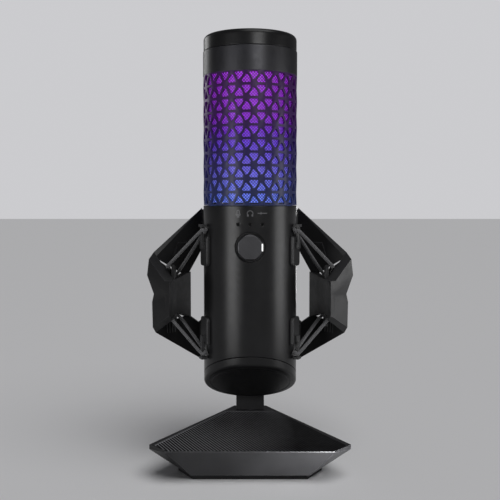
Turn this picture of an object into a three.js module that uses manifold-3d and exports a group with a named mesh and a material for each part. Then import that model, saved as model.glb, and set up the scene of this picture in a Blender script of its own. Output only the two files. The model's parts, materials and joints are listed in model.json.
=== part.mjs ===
// Desktop condenser microphone on a weighted stand.
// Millimetres, +Z up, the microphone's front faces -Y. The origin lies on the desk, under the
// microphone's upright axis. The microphone hangs on four elastic loops inside a shock mount,
// which tilts on a pivot at the top of the neck.
import * as THREE from 'three';
import { ConvexGeometry } from 'three/addons/geometries/ConvexGeometry.js';
import { mergeVertices } from 'three/addons/utils/BufferGeometryUtils.js';
import Module from 'manifold-3d';

const wasm = await Module();
wasm.setup();

// ---- Driving dimensions ----

const CLEAR = 0.3; // gap between fitted pieces
const ROUND = 36; // sides of the large round parts
const INNER_ROUND = 20; // sides of the large round parts that are out of sight
const SMALL_ROUND = 16; // sides of the small round parts

const BODY_R = 31.6; // microphone's outer radius
const BODY_WALL = 1.8;
const CAP_TOP = 287;
const CAP_R = BODY_R - 0.4;
const CAP_SEAM = 276.4;
const COLLAR_BOTTOM = 260.7; // plain band above the perforated field
const GRILLE_BOTTOM = 174.4;
const GRILLE_WALL = 1.2;
const GRILLE_COLUMNS = 20;
const GRILLE_ROWS = 10;
const GRILLE_TURN = THREE.MathUtils.degToRad(4.72); // where the first column of nodes stands
const GRILLE_OPEN = 0.77; // size of a hole against the triangle between three nodes

const UNDERSIDE_MIDDLE = 52; // height of the slanted underside on the axis
const UNDERSIDE_SLOPE = Math.tan(THREE.MathUtils.degToRad(29.5)); // it faces forward and down
const FOOT_CAP_HEIGHT = 6.4;

const KNOB_Z = 147.5;
const KNOB_HOLE_R = 9.8;
const KNOB_R = 8.5;
const KNOB_FACE_R = 8.1;
const KNOB_FRONT = -32.6;
const KNOB_BACK = -25.4;
const KNOB_TRAVEL = 0.8;
const LED_Z = 162.2;
const LED_X = { gain: -7.7, headphone: 0, mix: 7.9 };

const PANEL_Y = 29.8; // outer face of the flat port panel at the back
const PANEL_LOW = 104;
const PANEL_HIGH = 154;
const USB_Z = 112;
const JACK_Z = 125;
const BUTTON_Z = { lighting_button: 137, high_pass_button: 147 };
const BUTTON_R = 2.7;

const CLIP_ANGLES = [55, 82]; // degrees from the front, round the side
const TIP_ANGLES = [57, 66.5];
const CLIP_R = 34;
const CLIP_UPPER = { pad: [133.9, 149.8], tip: 153.8, post: 160.4, bar: [160.2, 161.8], loop: 156.9 };
const CLIP_LOWER = { pad: [83.4, 99.5], tip: 81.4, post: 72.9, bar: [71.5, 73.1], loop: 76.4 };
const POST_ANGLE = 66;
const POST_R = 35;
const CORD_R = 1.1;

const PIVOT_Y = 48;
const PIVOT_Z = 78;
const KNUCKLE_R = 8;
const LUG_HALF = 5; // half width of the neck's lug between the yoke's ears
const EAR_OUTER = 10.8;

const YOKE_FRONT = 38.9;
const YOKE_BACK = 43.4;
const FLANGE_FRONT = 35;
const FRAME_SCREWS = { upper: [30, 159], lower: [31, 75] };

const BASE_TOP = 21.3;
const BASE_RIM = 18.3; // lower edge of the base's upright rim at its sides and back
const FRONT_RIM = 20.6; // and at its front
const PAD_TOP = 2.5;
const NECK = { half: 10.35, front: 43.6, back: 52.6, shoulder: 65 };
const NECK_BOLT_Y = 47;

// ---- Materials ----

function finish(color, roughness, metalness) {
  return new THREE.MeshStandardMaterial({ color, roughness, metalness });
}

const satinBlack = finish(0x17171a, 0.38, 0.7);
const grilleBlack = finish(0x121215, 0.45, 0.8);
const frameGrey = finish(0x1d1d20, 0.55, 0.1);
const darkPlastic = finish(0x101012, 0.5, 0);
const rubberBlack = finish(0x0c0c0d, 0.9, 0);
const elasticGrey = finish(0x2a2a2d, 0.8, 0);
const steel = finish(0x8c8c90, 0.35, 1);
const gold = finish(0xc9a24a, 0.35, 1);
const glowViolet = finish(0x7a3cff, 0.6, 0);
const diffuserWhite = finish(0xe8e6f5, 0.6, 0);
const foamGrey = finish(0x3a3a3e, 1, 0);
const boardGreen = finish(0x0f3a24, 0.6, 0.1);
const pointerWhite = finish(0xf4f4f4, 0.4, 0);

// ---- Solids: three.js shapes, joined and cut ----

function solid(geometry) {
  const plain = geometry.index ? geometry.toNonIndexed() : geometry.clone();
  for (const name of Object.keys(plain.attributes)) {
    if (name !== 'position') plain.deleteAttribute(name);
  }
  const merged = mergeVertices(plain, 1e-4);
  const index = merged.index.array;
  const triangles = [];
  for (let i = 0; i < index.length; i += 3) {
    const [a, b, c] = [index[i], index[i + 1], index[i + 2]];
    if (a !== b && b !== c && c !== a) triangles.push(a, b, c);
  }
  return new wasm.Manifold(new wasm.Mesh({
    numProp: 3,
    vertProperties: new Float32Array(merged.attributes.position.array),
    triVerts: new Uint32Array(triangles),
  }));
}

function geometryOf(manifold) {
  const mesh = manifold.getMesh();
  const geometry = new THREE.BufferGeometry();
  geometry.setAttribute('position', new THREE.BufferAttribute(new Float32Array(mesh.vertProperties), 3));
  geometry.setIndex([...mesh.triVerts]);
  geometry.computeVertexNormals();
  return geometry;
}

function join(...geometries) {
  return geometryOf(geometries.map(solid).reduce((all, next) => all.add(next)));
}

function cut(geometry, ...tools) {
  return geometryOf(tools.map(solid).reduce((rest, tool) => rest.subtract(tool), solid(geometry)));
}

function block([x0, y0, z0], [x1, y1, z1]) {
  const box = new THREE.BoxGeometry(x1 - x0, y1 - y0, z1 - z0);
  return box.translate((x0 + x1) / 2, (y0 + y1) / 2, (z0 + z1) / 2);
}

function hull(points) {
  return new ConvexGeometry(points.map(([x, y, z]) => new THREE.Vector3(x, y, z)));
}

// A round bar between two points on a line along one of the axes.
function bar(radius, from, to, sides = SMALL_ROUND) {
  const start = new THREE.Vector3(...from);
  const along = new THREE.Vector3(...to).sub(start);
  const rod = new THREE.CylinderGeometry(radius, radius, along.length(), sides);
  rod.translate(0, along.length() / 2, 0);
  rod.applyQuaternion(new THREE.Quaternion().setFromUnitVectors(
    new THREE.Vector3(0, 1, 0), along.normalize()));
  return rod.translate(start.x, start.y, start.z);
}

// A solid turned about the Z axis from a closed outline of [radius, height] points, given
// anticlockwise: outward along the bottom, up the outside and back along the top.
function turned(outline, sides = ROUND) {
  const points = outline.map(([r, z]) => new THREE.Vector2(r, z));
  const onAxis = outline[0][0] === 0 && outline.at(-1)[0] === 0;
  if (!onAxis) points.push(points[0].clone());
  return new THREE.LatheGeometry(points, sides).rotateX(Math.PI / 2);
}

function tube(inner, outer, bottom, top, sides = ROUND) {
  return turned([[inner, bottom], [outer, bottom], [outer, top], [inner, top]], sides);
}

function disc(radius, bottom, top, sides = ROUND) {
  return turned([[0, bottom], [radius, bottom], [radius, top], [0, top]], sides);
}

// A flat plate in the XY plane.
function plate(outline, bottom, top) {
  const shape = new THREE.Shape(outline.map(([x, y]) => new THREE.Vector2(x, y)));
  const solidPlate = new THREE.ExtrudeGeometry(shape, { depth: top - bottom, bevelEnabled: false });
  return solidPlate.translate(0, 0, bottom);
}

// A flat plate that stands up, with its outline in X and Z.
function standingPlate(outline, front, back) {
  return plate(outline, 0, back - front)
    .rotateX(Math.PI / 2)
    .translate(0, back, 0);
}

function mirrored(points) {
  return points.map(([x, ...rest]) => [-x, ...rest]);
}

// An outline that is the same left and right, from the points of its right half.
function bothSides(rightHalf) {
  return [...rightHalf, ...mirrored(rightHalf).reverse()];
}

// Slants a solid as the microphone's underside is slanted.
function slanted(geometry, below = Infinity) {
  const position = geometry.attributes.position;
  for (let i = 0; i < position.count; i++) {
    const z = position.getZ(i);
    if (z < below) position.setZ(i, z - UNDERSIDE_SLOPE * position.getY(i));
  }
  return geometry;
}

// A point on a circle round the upright axis, by its angle from the front.
function around(radius, degrees, z, side = 1) {
  const angle = THREE.MathUtils.degToRad(degrees);
  return [side * radius * Math.sin(angle), -radius * Math.cos(angle), z];
}

// A block that follows the microphone's round side.
function curvedBlock(innerR, outerR, [from, to], [bottom, top], side, steps = 4) {
  const turns = Array.from({ length: steps + 1 }, (_, i) => from + ((to - from) * i) / steps);
  const outline = [
    ...turns.map((turn) => around(outerR, turn, 0, side)),
    ...turns.reverse().map((turn) => around(innerR, turn, 0, side)),
  ];
  return plate(outline, bottom, top);
}

// The same solid on the other side. Reversed corners keep its faces pointing out.
function mirrorX(geometry) {
  const copy = geometry.clone().scale(-1, 1, 1);
  copy.index.array.reverse();
  return copy;
}

// A closed ring of round cord through the given points.
function cordLoop(points, radius, steps = 32, sides = 6) {
  const path = new THREE.CatmullRomCurve3(
    points.map((p) => new THREE.Vector3(...p)), true, 'catmullrom', 0.35);
  const frames = path.computeFrenetFrames(steps, true);
  const corners = [];
  const faces = [];
  for (let i = 0; i < steps; i++) {
    const centre = path.getPointAt(i / steps);
    for (let j = 0; j < sides; j++) {
      const turn = (2 * Math.PI * j) / sides;
      const out = frames.normals[i].clone().multiplyScalar(Math.cos(turn))
        .addScaledVector(frames.binormals[i], Math.sin(turn));
      corners.push(...centre.clone().addScaledVector(out, radius).toArray());
      const a = i * sides + j;
      const b = i * sides + ((j + 1) % sides);
      const c = ((i + 1) % steps) * sides + j;
      const d = ((i + 1) % steps) * sides + ((j + 1) % sides);
      faces.push(a, b, c, b, d, c);
    }
  }
  const geometry = new THREE.BufferGeometry();
  geometry.setAttribute('position', new THREE.Float32BufferAttribute(corners, 3));
  geometry.setIndex(faces);
  return geometry;
}

const microphone = new THREE.Group();

function add(name, geometry, material) {
  const mesh = new THREE.Mesh(geometryOf(solid(geometry)), material);
  mesh.name = name;
  microphone.add(mesh);
}

// ---- Head: grille, cap and what is inside them ----

// The grille is a steel sleeve pierced by triangular holes. Its rows of nodes stand half a
// column apart, so every hole is a triangle between three nodes.
function headGrille() {
  const rowHeight = (COLLAR_BOTTOM - GRILLE_BOTTOM) / GRILLE_ROWS;
  const column = (2 * Math.PI) / GRILLE_COLUMNS;
  const corners = [];
  const faces = [];

  function node(radius, row, n) {
    const turn = GRILLE_TURN + column * (n - (row % 2 ? 0 : 0.5));
    const z = GRILLE_BOTTOM + rowHeight * row;
    return new THREE.Vector3(radius * Math.sin(turn), -radius * Math.cos(turn), z);
  }
  function quad(a, b, c, d) {
    for (const p of [a, b, c, a, c, d]) {
      faces.push(corners.length / 3);
      corners.push(...p.toArray());
    }
  }
  // The metal round one hole, whose corners run anticlockwise seen from outside.
  function cell(places) {
    const outer = places.map(([row, n]) => node(BODY_R, row, n));
    const inner = places.map(([row, n]) => node(BODY_R - GRILLE_WALL, row, n));
    const [outerHole, innerHole] = [outer, inner].map((triangle) => {
      const middle = triangle[0].clone().add(triangle[1]).add(triangle[2]).divideScalar(3);
      return triangle.map((p) => middle.clone().lerp(p, GRILLE_OPEN));
    });
    for (let i = 0; i < 3; i++) {
      const j = (i + 1) % 3;
      quad(outer[i], outer[j], outerHole[j], outerHole[i]);
      quad(inner[j], inner[i], innerHole[i], innerHole[j]);
      quad(outerHole[i], outerHole[j], innerHole[j], innerHole[i]);
    }
  }

  for (let row = 0; row < GRILLE_ROWS; row++) {
    const shift = row % 2 ? 0 : 1;
    for (let n = 0; n < GRILLE_COLUMNS; n++) {
      cell([[row, n], [row, n + 1], [row + 1, n + 1 - shift]]);
      cell([[row + 1, n + 1 - shift], [row + 1, n - shift], [row, n]]);
    }
  }
  const raise = new THREE.Vector3(0, 0, CAP_SEAM - COLLAR_BOTTOM);
  for (let n = 0; n < GRILLE_COLUMNS; n++) {
    const [a, b] = [n, n + 1].map((m) => node(BODY_R, GRILLE_ROWS, m));
    const [c, d] = [n, n + 1].map((m) => node(BODY_R - GRILLE_WALL, GRILLE_ROWS, m));
    const [aTop, bTop, cTop, dTop] = [a, b, c, d].map((p) => p.clone().add(raise));
    quad(a, b, bTop, aTop);
    quad(d, c, cTop, dTop);
    quad(aTop, bTop, dTop, cTop);
    const [e, f] = [n, n + 1].map((m) => node(BODY_R, 0, m));
    const [g, h] = [n, n + 1].map((m) => node(BODY_R - GRILLE_WALL, 0, m));
    quad(f, e, g, h);
  }
  const geometry = new THREE.BufferGeometry();
  geometry.setAttribute('position', new THREE.Float32BufferAttribute(corners, 3));
  geometry.setIndex(faces);
  return geometry;
}

function topCap() {
  return turned([
    [0, 282], [26, 282], [27.4, 280.6], [27.4, 269], [29, 269], [29, CAP_SEAM + CLEAR],
    [CAP_R, CAP_SEAM + CLEAR], [CAP_R, CAP_TOP - 3], [CAP_R - 0.9, CAP_TOP - 0.9],
    [CAP_R - 3, CAP_TOP], [20.3, CAP_TOP], [20.3, CAP_TOP - 1.2], [0, CAP_TOP - 1.2],
  ]);
}

function ledRing(bottom, up) {
  const ring = tube(22.5, 28.2, bottom, bottom + 1.2, INNER_ROUND);
  const lamps = Array.from({ length: 6 }, (_, i) => {
    const [x, y] = around(25.4, 60 * i, 0);
    const [low, high] = up > 0 ? [bottom + 1, bottom + 2] : [bottom - 0.8, bottom + 0.2];
    return block([x - 1.2, y - 1.2, low], [x + 1.2, y + 1.2, high]);
  });
  return join(ring, ...lamps);
}

add('top_cap', topCap(), satinBlack);
add('touch_mute_plate', disc(20, CAP_TOP - 0.9, CAP_TOP), darkPlastic);
add('touch_board', disc(21, 279.6, 280.8, INNER_ROUND), boardGreen);
add('head_grille', headGrille(), grilleBlack);
add('mesh_liner', tube(29, 29.6, 175, 260.4, 24), grilleBlack);
add('light_diffuser', tube(27.2, 28.6, 176.2, 260, 24), glowViolet);
add('upper_led_ring', ledRing(262.6, -1), boardGreen);
add('lower_led_ring', ledRing(172.9, 1), boardGreen);
add('foam_filter', turned([
  [20, 176.5], [26.2, 176.5], [26.2, 258], [0, 258], [0, 251], [20, 251],
], INNER_ROUND), foamGrey);

const CAPSULE_Z = 226;
add('mic_capsule', bar(12.5, [0, -5, CAPSULE_Z], [0, 4, CAPSULE_Z], INNER_ROUND), gold);
add('capsule_ring', cut(
  bar(15, [0, -3.5, CAPSULE_Z], [0, 2.5, CAPSULE_Z], INNER_ROUND),
  bar(12.8, [0, -10, CAPSULE_Z], [0, 10, CAPSULE_Z], INNER_ROUND),
), rubberBlack);
add('capsule_stand', cut(
  join(
    hull([[-6, -3, 173.4], [6, -3, 173.4], [6, 2, 173.4], [-6, 2, 173.4],
      [-6, -3, 214], [6, -3, 214], [6, 2, 214], [-6, 2, 214]]),
    bar(17.5, [0, -3, CAPSULE_Z], [0, 2, CAPSULE_Z], INNER_ROUND),
    disc(12, 173.3, 175.5, INNER_ROUND),
  ),
  bar(15.3, [0, -10, CAPSULE_Z], [0, 10, CAPSULE_Z], INNER_ROUND),
), darkPlastic);

// ---- Lower body ----

function bodyShell() {
  const inner = BODY_R - BODY_WALL;
  const bottom = UNDERSIDE_MIDDLE + FOOT_CAP_HEIGHT + CLEAR / 2;
  const wall = slanted(tube(inner, BODY_R, bottom, GRILLE_BOTTOM - CLEAR), bottom + 1);
  const knobHole = bar(KNOB_HOLE_R, [0, -40, KNOB_Z], [0, -20, KNOB_Z], 32);
  const ledHoles = Object.values(LED_X).map((x) => bar(0.95, [x, -40, LED_Z], [x, -20, LED_Z], 8));
  const panelHole = block([-8.3, 20, PANEL_LOW - CLEAR], [8.3, 40, PANEL_HIGH + CLEAR]);
  return cut(wall, knobHole, ...ledHoles, panelHole);
}

function footCap() {
  const low = UNDERSIDE_MIDDLE;
  const high = UNDERSIDE_MIDDLE + FOOT_CAP_HEIGHT - CLEAR / 2;
  return slanted(turned([
    [0, low], [BODY_R - 2.2, low], [BODY_R - 0.7, low + 0.6], [BODY_R, low + 2],
    [BODY_R, high], [28.9, high], [28.9, high + 4], [27.2, high + 4], [27.2, low + 3], [0, low + 3],
  ]));
}

function chassis() {
  const cheeks = [-1, 1].map((side) => block(
    [Math.min(side * 19, side * 21), -15, 79], [Math.max(side * 19, side * 21), 11.5, 169.6]));
  return cut(
    join(
      disc(28.7, 169.4, 172.4, 24),
      ...cheeks,
      block([-21, -15, 133], [21, -12.5, 162]),
      block([-21, -15, 78.6], [21, 11.5, 81]),
    ),
    disc(6, 160, 180, 16),
  );
}

function portPanel() {
  const panel = block([-8, 27.6, PANEL_LOW], [8, PANEL_Y, PANEL_HIGH]);
  const usbHole = block([-4.9, 20, USB_Z - 2.05], [4.9, 40, USB_Z + 2.05]);
  const jackHole = bar(3.3, [0, 20, JACK_Z], [0, 40, JACK_Z]);
  const buttonHoles = Object.values(BUTTON_Z).map((z) => bar(BUTTON_R + 0.4, [0, 20, z], [0, 40, z]));
  return cut(panel, usbHole, jackHole, ...buttonHoles);
}

function usbSocket() {
  const shell = block([-4.5, 14.9, USB_Z - 1.65], [4.5, PANEL_Y - 0.2, USB_Z + 1.65]);
  const mouth = block([-4.15, 22.5, USB_Z - 1.28], [4.15, 40, USB_Z + 1.28]);
  const tongue = block([-3.4, 22, USB_Z - 0.35], [3.4, PANEL_Y - 1.4, USB_Z + 0.35]);
  return join(cut(shell, mouth), tongue);
}

function headphoneSocket() {
  const box = block([-4, 14.9, JACK_Z - 4], [4, 27.2, JACK_Z + 4]);
  const nose = bar(3, [0, 27, JACK_Z], [0, PANEL_Y - 0.2, JACK_Z]);
  return cut(join(box, nose), bar(1.8, [0, 17, JACK_Z], [0, 40, JACK_Z]));
}

function mainBoard() {
  const switches = Object.values(BUTTON_Z).map((z) => block([-3, 14.5, z - 3], [3, 25.6, z + 3]));
  return join(
    block([-18, 13, 84], [18, 14.6, 160]),
    block([-7, 11.2, 108], [7, 13.1, 122]),
    block([-14, 11.6, 130], [-4, 13.1, 140]),
    block([5, 11.6, 90], [14, 13.1, 97]),
    ...switches,
  );
}

add('body_shell', bodyShell(), satinBlack);
add('bottom_cap', footCap(), satinBlack);
add('chassis', chassis(), darkPlastic);
add('main_board', mainBoard(), boardGreen);
add('rear_port_panel', portPanel(), darkPlastic);
add('usb_c_socket', usbSocket(), steel);
add('headphone_socket', headphoneSocket(), darkPlastic);
for (const [name, z] of Object.entries(BUTTON_Z)) {
  add(name, bar(BUTTON_R, [0, 26.6, z], [0, PANEL_Y + 0.7, z]), darkPlastic);
}

// ---- Front dial and its lamps ----

function knobBezel() {
  const floorY = KNOB_BACK + KNOB_TRAVEL + 0.6;
  return cut(
    bar(KNOB_HOLE_R - CLEAR, [0, -29.2, KNOB_Z], [0, floorY + 1, KNOB_Z], 32),
    bar(KNOB_R + 0.45, [0, -40, KNOB_Z], [0, floorY, KNOB_Z], 32),
    bar(3.9, [0, -40, KNOB_Z], [0, -10, KNOB_Z]),
  );
}

// The dial's rim is round and its face is an octagon, so sloping facets join the two.
function controlKnob() {
  const facets = [];
  for (let i = 0; i < 8; i++) {
    const turn = (Math.PI / 4) * (i + 0.5);
    facets.push([KNOB_FACE_R * Math.cos(turn), KNOB_FRONT, KNOB_Z + KNOB_FACE_R * Math.sin(turn)]);
  }
  for (let i = 0; i < 32; i++) {
    const turn = (Math.PI / 16) * i;
    const [x, z] = [KNOB_R * Math.cos(turn), KNOB_Z + KNOB_R * Math.sin(turn)];
    facets.push([x, KNOB_FRONT + 1.2, z], [x, KNOB_BACK, z]);
  }
  return cut(
    hull(facets),
    bar(2.3, [0, KNOB_BACK + 1, KNOB_Z], [0, -28.5, KNOB_Z]),
    block([6.6, KNOB_FRONT - 1, KNOB_Z - 2.6], [10, KNOB_FRONT + 2.4, KNOB_Z + 2.6]),
  );
}

function rotaryEncoder() {
  return cut(
    join(
      block([-6, -21.5, KNOB_Z - 6], [6, -15.3, KNOB_Z + 6]),
      bar(3.5, [0, -24.6, KNOB_Z], [0, -21, KNOB_Z]),
    ),
    bar(2.35, [0, -30, KNOB_Z], [0, -16, KNOB_Z]),
  );
}

add('knob_bezel', knobBezel(), darkPlastic);
add('control_knob', controlKnob(), satinBlack);
add('knob_pointer', block(
  [6.8, KNOB_FRONT + 0.3, KNOB_Z - 2.4], [8.35, KNOB_FRONT + 2.2, KNOB_Z + 2.4]), pointerWhite);
add('encoder_shaft', bar(2, [0, -28.2, KNOB_Z], [0, -18.8, KNOB_Z]), steel);
add('encoder_plunger', bar(1.9, [0, -18.4, KNOB_Z], [0, -17.2, KNOB_Z]), darkPlastic);
add('rotary_encoder', rotaryEncoder(), steel);
for (const [name, x] of Object.entries(LED_X)) {
  const front = -Math.sqrt(BODY_R ** 2 - x ** 2) + 0.1;
  add(`${name}_led_pipe`, bar(0.65, [x, front, LED_Z], [x, front + 3, LED_Z], 8), diffuserWhite);
}

// ---- Clips on the microphone's sides, and the elastic loops ----

// A pad that hugs the body, with a narrow tip, and a post and crossbar that hold the loop.
function clip(side, { pad, tip, post, bar: crossbar }) {
  const up = post > pad[1];
  const tipHeights = up ? [pad[1] - 0.5, tip] : [tip, pad[0] + 0.5];
  const [footLow, footHigh] = up ? [pad[1] - 4, pad[1]] : [pad[0], pad[0] + 4];
  const [postLow, postHigh] = up ? [pad[1] - 1, post] : [post, pad[0] + 1];
  return join(
    curvedBlock(BODY_R + CLEAR, CLIP_R, CLIP_ANGLES, pad, side, 6),
    curvedBlock(BODY_R + CLEAR, CLIP_R - 0.5, TIP_ANGLES, tipHeights, side, 2),
    curvedBlock(CLIP_R - 1, POST_R + 1, [POST_ANGLE - 3, POST_ANGLE + 3], [footLow, footHigh], side, 1),
    curvedBlock(POST_R - 1, POST_R + 1, [POST_ANGLE - 1.6, POST_ANGLE + 1.6], [postLow, postHigh], side, 1),
    curvedBlock(BODY_R + 0.6, POST_R + 1.4, [POST_ANGLE - 4, POST_ANGLE + 5], crossbar, side, 1),
  );
}

// Where a loop rounds its post on the clip and its lug on the side frame, for the right side.
function loopPoints(side, level, frontEnd, rearEnd, behindLug) {
  const [x, y, z] = around(POST_R, POST_ANGLE, level);
  const nearPost = [[1.1, -2.2], [-1.8, -1.7], [-1.5, 1.9]].map(([dx, dy]) => [x + dx, y + dy, z]);
  return [frontEnd, ...nearPost, rearEnd, ...behindLug].map(([px, ...rest]) => [side * px, ...rest]);
}

const UPPER_ENDS = [[55, -3, 134.2], [51.7, 14, 125.9], [[55.6, 9, 129.5], [56.3, 3, 132.8]]];
const LOWER_ENDS = [[52.6, -3, 95.6], [49.7, 14, 95.9], [[54.9, 9, 95.2], [55.6, 3, 95.2]]];

for (const [sideName, side] of [['left', -1], ['right', 1]]) {
  add(`clip_upper_${sideName}`, clip(side, CLIP_UPPER), darkPlastic);
  add(`clip_lower_${sideName}`, clip(side, CLIP_LOWER), darkPlastic);
  add(`elastic_upper_${sideName}`,
    cordLoop(loopPoints(side, CLIP_UPPER.loop, ...UPPER_ENDS), CORD_R), elasticGrey);
  add(`elastic_lower_${sideName}`,
    cordLoop(loopPoints(side, CLIP_LOWER.loop, ...LOWER_ENDS), CORD_R), elasticGrey);
}

// ---- Shock mount ----

// One faceted side frame: a front plate with a notch in its outer edge, an inner wall, and
// an upper and a lower arm that run back to the yoke. Points are for the right side.
function sideFrame(side) {
  const middle = [54.2, -12, 113.6];
  const middleBack = [52.6, -5, 113.6];
  const notch = [66, 0, 113.6];
  const notchBack = [65.6, 9.5, 113.6];
  const frontUpper = [
    [69.2, 0, 137.6], [67, 10, 141.7], [52, -5, 124], [54.1, -12, 119.4], [70.5, 0, 126.6],
    [68.8, 10.5, 127], notch, notchBack, middle, middleBack,
  ];
  const frontLower = [
    middle, middleBack, notch, notchBack, [67.2, 0, 108], [66.9, 0, 90.6], [65.4, 5, 86],
    [65.2, 10, 88], [66.6, 9.5, 107], [54.4, -12, 100.2], [52.7, -5, 96.5],
  ];
  const wallFront = [99.5, 123.5].flatMap((z) => [
    [54.1, -12, z], [57.5, -9.3, z], [50.3, 8, z], [53.6, 8.5, z],
  ]);
  const wallRear = [
    [50.3, 8, 99.5], [53.6, 8, 99.5], [50.3, 8, 123.5], [53.6, 8, 123.5],
    [44.6, 28, 96], [49, 28, 96], [44.6, 28, 126], [49, 28, 126],
    [43, 32.5, 93], [46, 32.5, 93], [43, 32.5, 126], [46, 32.5, 126],
  ];
  const deep = 4.2;
  const thick = (points) => [...points, ...points.map(([x, y, z]) => [x, Math.min(y + deep, 38.6), z])];
  const upperArm = thick([[35, 35, 172], [67, 10, 141.7], [66, 8.5, 138], [45.5, 28, 123], [33.6, 35, 145]]);
  const lowerArm = thick([[36.2, 35, 61.9], [65.4, 5, 86], [64, 6, 90], [44.9, 28, 95], [37, 35, 88]]);
  const gusset = [
    [45, 24.4, 147.4], [50.8, 19.8, 147.4], [53.5, 18, 138.6], [50, 20.5, 138.6],
    [45, 29, 149], [52, 24, 149], [56, 20, 137], [49, 26, 137],
  ];
  const upperLug = [
    [52, 2, 118], [54, 2, 118], [51.4, 9, 118], [53.8, 9, 118],
    [52, 2, 133.4], [54, 2, 133.4], [51.4, 9, 131.2], [53.8, 9, 131.2],
  ];
  const lowerLug = [91, 104].flatMap((z) => [[51.6, 2, z], [53.4, 2, z], [51, 9, z], [53.4, 9, z]]);
  const pocket = [0, -1.6].flatMap((drop) => [
    [66.5, 9, 138 + drop], [53.5, 8.3, 119.1 + drop], [45.5, 28, 120 + drop], [50.5, 24, 123.6 + drop],
  ]);
  const upperFlange = block([22, FLANGE_FRONT, 147], [36, 38.6, 171]);
  const lowerFlange = block([22, FLANGE_FRONT, 63], [38, 38.6, 87]);
  const ribs = [0, 1, 2, 3].map((i) => {
    const x = 52.8 + 1.7 * i;
    const y = 20.7 - 1.75 * i;
    return block([x, y - 3.4, 84.5], [x + 0.8, y + 2.5, 96 - i]);
  });
  const [upperScrew, lowerScrew] = [FRAME_SCREWS.upper, FRAME_SCREWS.lower].map(
    ([x, z]) => bar(1.8, [x, 30, z], [x, 45, z]));
  const parts = [frontUpper, frontLower, wallFront, wallRear, upperArm, lowerArm, gusset,
    upperLug, lowerLug, pocket].map(hull);
  const right = cut(join(...parts, ...ribs, upperFlange, lowerFlange), upperScrew, lowerScrew);
  return side > 0 ? right : mirrorX(right);
}

// The yoke joins the two side frames behind the microphone. Its window leaves room for the
// plugs. Its two ears turn on the neck's lug, and the gap between them clears it as they tilt.
function rearYoke() {
  const outline = bothSides([
    [EAR_OUTER, 69.5], [EAR_OUTER, 88], [27, 88], [27, 61], [33, 61], [38, 67], [38, 88],
    [24, 101], [24, 134], [36, 147], [36, 163], [27, 172],
  ]);
  const window = block([-15, 30, 98], [15, 50, 156]);
  const ears = [-1, 1].flatMap((side) => {
    const [inner, outer] = [side * (LUG_HALF + 0.4), side * EAR_OUTER];
    const low = Math.min(inner, outer);
    const high = Math.max(inner, outer);
    return [
      bar(KNUCKLE_R, [low, PIVOT_Y, PIVOT_Z], [high, PIVOT_Y, PIVOT_Z], 24),
      block([low, YOKE_BACK - 2, PIVOT_Z - 7.9], [high, PIVOT_Y, PIVOT_Z + 7.9]),
    ];
  });
  const lugSpace = bar(
    KNUCKLE_R + 0.6, [-LUG_HALF - 0.4, PIVOT_Y, PIVOT_Z], [LUG_HALF + 0.4, PIVOT_Y, PIVOT_Z], 24);
  const tiltSpace = block([-LUG_HALF - 0.4, 30, 60], [LUG_HALF + 0.4, YOKE_BACK + 1, PIVOT_Z]);
  const boltHole = bar(2.8, [-20, PIVOT_Y, PIVOT_Z], [20, PIVOT_Y, PIVOT_Z]);
  const screwHoles = Object.values(FRAME_SCREWS).flatMap(([x, z]) => [-1, 1].map(
    (side) => bar(1.8, [side * x, 30, z], [side * x, 50, z])));
  return cut(
    join(standingPlate(outline, YOKE_FRONT, YOKE_BACK), ...ears),
    window, lugSpace, tiltSpace, boltHole, ...screwHoles,
  );
}

add('left_frame', sideFrame(-1), frameGrey);
add('right_frame', sideFrame(1), frameGrey);
add('rear_yoke', rearYoke(), frameGrey);
for (const [level, [x, z]] of Object.entries(FRAME_SCREWS)) {
  for (const [sideName, side] of [['left', -1], ['right', 1]]) {
    const screw = join(
      bar(1.5, [side * x, 35.6, z], [side * x, 44, z], 8),
      bar(2.8, [side * x, YOKE_BACK + CLEAR, z], [side * x, YOKE_BACK + 2.2, z]),
    );
    add(`frame_screw_${level}_${sideName}`, screw, steel);
  }
}
add('pivot_bolt', join(
  bar(2.5, [-12, PIVOT_Y, PIVOT_Z], [22, PIVOT_Y, PIVOT_Z]),
  bar(4.8, [-14.6, PIVOT_Y, PIVOT_Z], [-EAR_OUTER - CLEAR, PIVOT_Y, PIVOT_Z], 6),
), steel);

// The clamp knob screws onto the bolt's other end. Its grip has six lobes.
function tiltKnob() {
  const lobes = Array.from({ length: 6 }, (_, i) => {
    const turn = (Math.PI / 3) * i;
    const [y, z] = [PIVOT_Y + 5.6 * Math.cos(turn), PIVOT_Z + 5.6 * Math.sin(turn)];
    return bar(2.6, [14, y, z], [23.5, y, z], 12);
  });
  return cut(
    join(
      bar(6.6, [14, PIVOT_Y, PIVOT_Z], [24.5, PIVOT_Y, PIVOT_Z], 24),
      bar(4.6, [EAR_OUTER + CLEAR, PIVOT_Y, PIVOT_Z], [15, PIVOT_Y, PIVOT_Z]),
      ...lobes,
    ),
    bar(2.8, [0, PIVOT_Y, PIVOT_Z], [22.3, PIVOT_Y, PIVOT_Z]),
  );
}

add('tilt_knob', tiltKnob(), darkPlastic);

// ---- Stand ----

const TOP_OUTLINE = bothSides([[53, -55], [64.8, -40.5], [12, 56]]);
const BOTTOM_OUTLINE = bothSides([[37.8, -46], [49, -28], [9, 47]]);
const PLATE_OUTLINE = bothSides([[52.2, -54], [61.2, -42.3], [18.2, 39.5]]);
const RECESS_OUTLINE = bothSides([[52.6, -54.3], [61.7, -42.3], [18.4, 39.8]]);
const WEIGHT_OUTLINE = bothSides([[33, -41.6], [40.4, -27], [9.5, 35]]);
const CAVITY_OUTLINE = bothSides([[33.4, -42], [40.9, -27], [9.9, 35.5]]);
const RUBBER_OUTLINE = bothSides([[36.8, -45], [47.4, -28], [12, 38]]);
const WEIGHT_SCREWS = { left: [-24, -26], right: [24, -26], rear: [0, 24] };

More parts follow.
